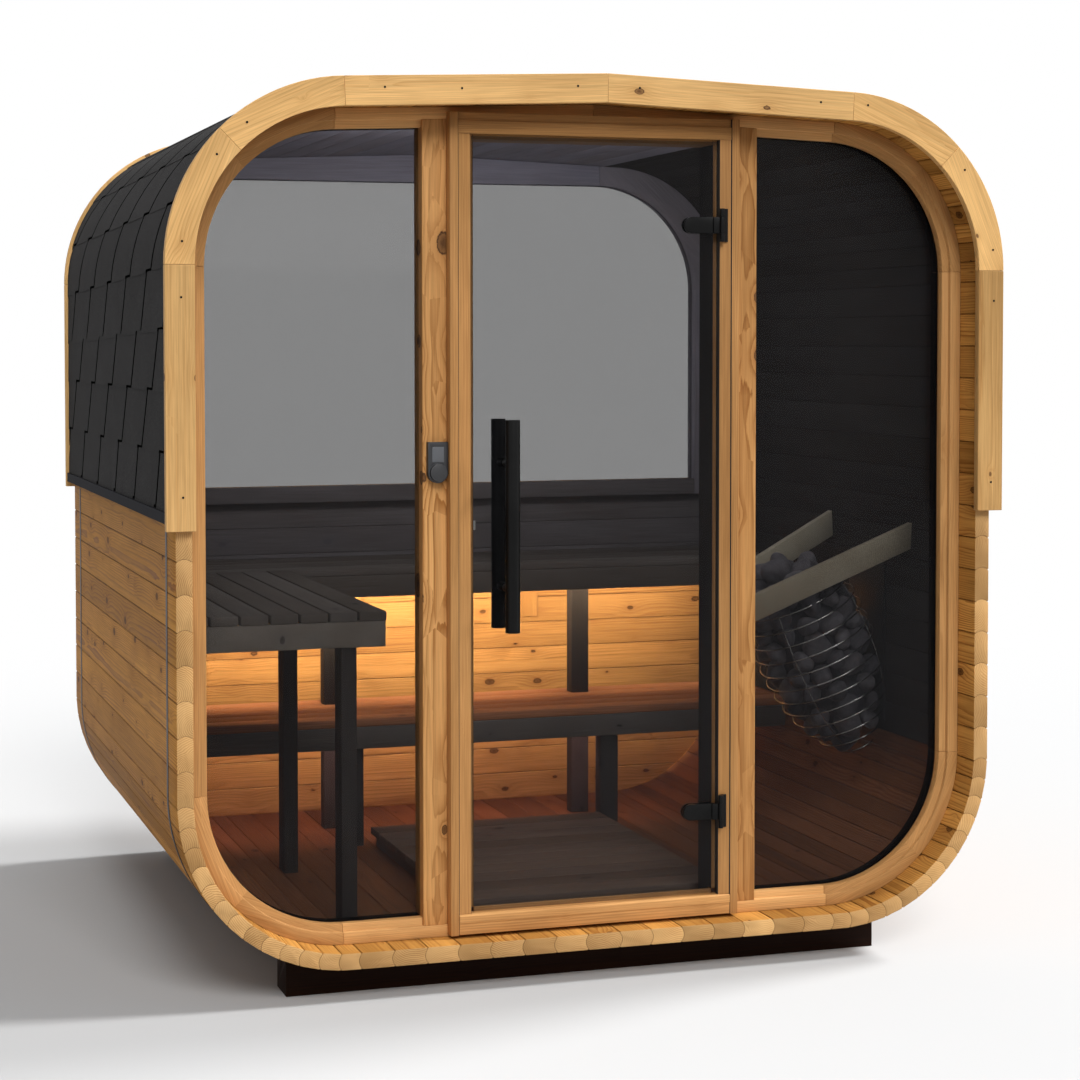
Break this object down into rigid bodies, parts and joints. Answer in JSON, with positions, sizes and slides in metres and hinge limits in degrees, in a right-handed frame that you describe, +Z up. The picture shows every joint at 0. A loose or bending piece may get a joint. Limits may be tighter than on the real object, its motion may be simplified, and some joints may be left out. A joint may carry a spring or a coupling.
{
  "type": "outdoor sauna",
  "caption": "Rounded-square outdoor sauna of long timber staves with a glazed front and door, shingled roof, timber fascia rings, benches and a wall heater.",
  "frame": {"origin": "centre of the footprint, on the ground", "axes": "+Z up, +X to the right seen from the front, +Y from the front to the back along the staves"},
  "size_m": [2.319, 1.859, 2.3714],
  "materials": {
    "pine_staves": "oiled",
    "pine_fascia": "oiled",
    "pine_frame": "oiled",
    "shingles": "matte, mineral granules",
    "cradle_timber": "dark stain",
    "strap_steel": "satin",
    "black_metal": "matte",
    "smoked_glass": "polished",
    "dark_wood": "dark stain",
    "sauna_stones": "rough",
    "heater_wire": "satin",
    "guard_wood": "oiled",
    "black_plastic": "satin",
    "white_plastic": "satin",
    "light_cover": "frosted"
  },
  "bodies": {
    "shell": {"floor_staves": "pine_staves", "wall_staves_left": "pine_staves", "wall_staves_right": "pine_staves", "roof_staves_left": "pine_staves", "roof_staves_right": "pine_staves", "lower_corner_staves": "pine_staves", "upper_corner_staves": "pine_staves", "shingles_left": "shingles", "shingles_right": "shingles", "drip_edges": "black_metal", "fascia_front": "pine_fascia", "fascia_rear": "pine_fascia", "steel_bands": "strap_steel", "cradle_front": "cradle_timber", "cradle_rear": "cradle_timber", "front_wall_frame": "pine_frame", "rear_wall_frame": "pine_frame", "front_posts": "pine_frame", "door_jambs": "pine_frame", "door_head": "pine_frame", "door_sill": "pine_frame", "glass_left": "smoked_glass", "glass_right": "smoked_glass", "rear_wall_boards": "pine_staves", "rear_window_sill": "pine_frame", "rear_window": "smoked_glass", "door_hinge_plates": "black_metal", "door_catch": "white_plastic", "upper_bench_slats": "dark_wood", "upper_bench_frame": "dark_wood", "lower_bench_slats": "dark_wood", "lower_bench_frame": "dark_wood", "side_bench_slats": "dark_wood", "side_bench_frame": "dark_wood", "bench_legs": "dark_wood", "duckboard": "dark_wood", "heater_stones": "sauna_stones", "heater_basket": "heater_wire", "heater_guard": "guard_wood", "controller": "black_plastic", "controller_knob": "black_plastic", "light_strip": "light_cover"},
    "door": {"door_glass": "smoked_glass", "door_hinge_clamps": "black_metal", "door_handle": "black_metal"}
  },
  "joints": [
    {"name": "door_hinge", "type": "hinge", "parent": "shell", "child": "door", "pos_m": [0.351, -0.8655, 1.2025], "axis": [0, 0, 1], "range_deg": [0, 105]}
  ]
}
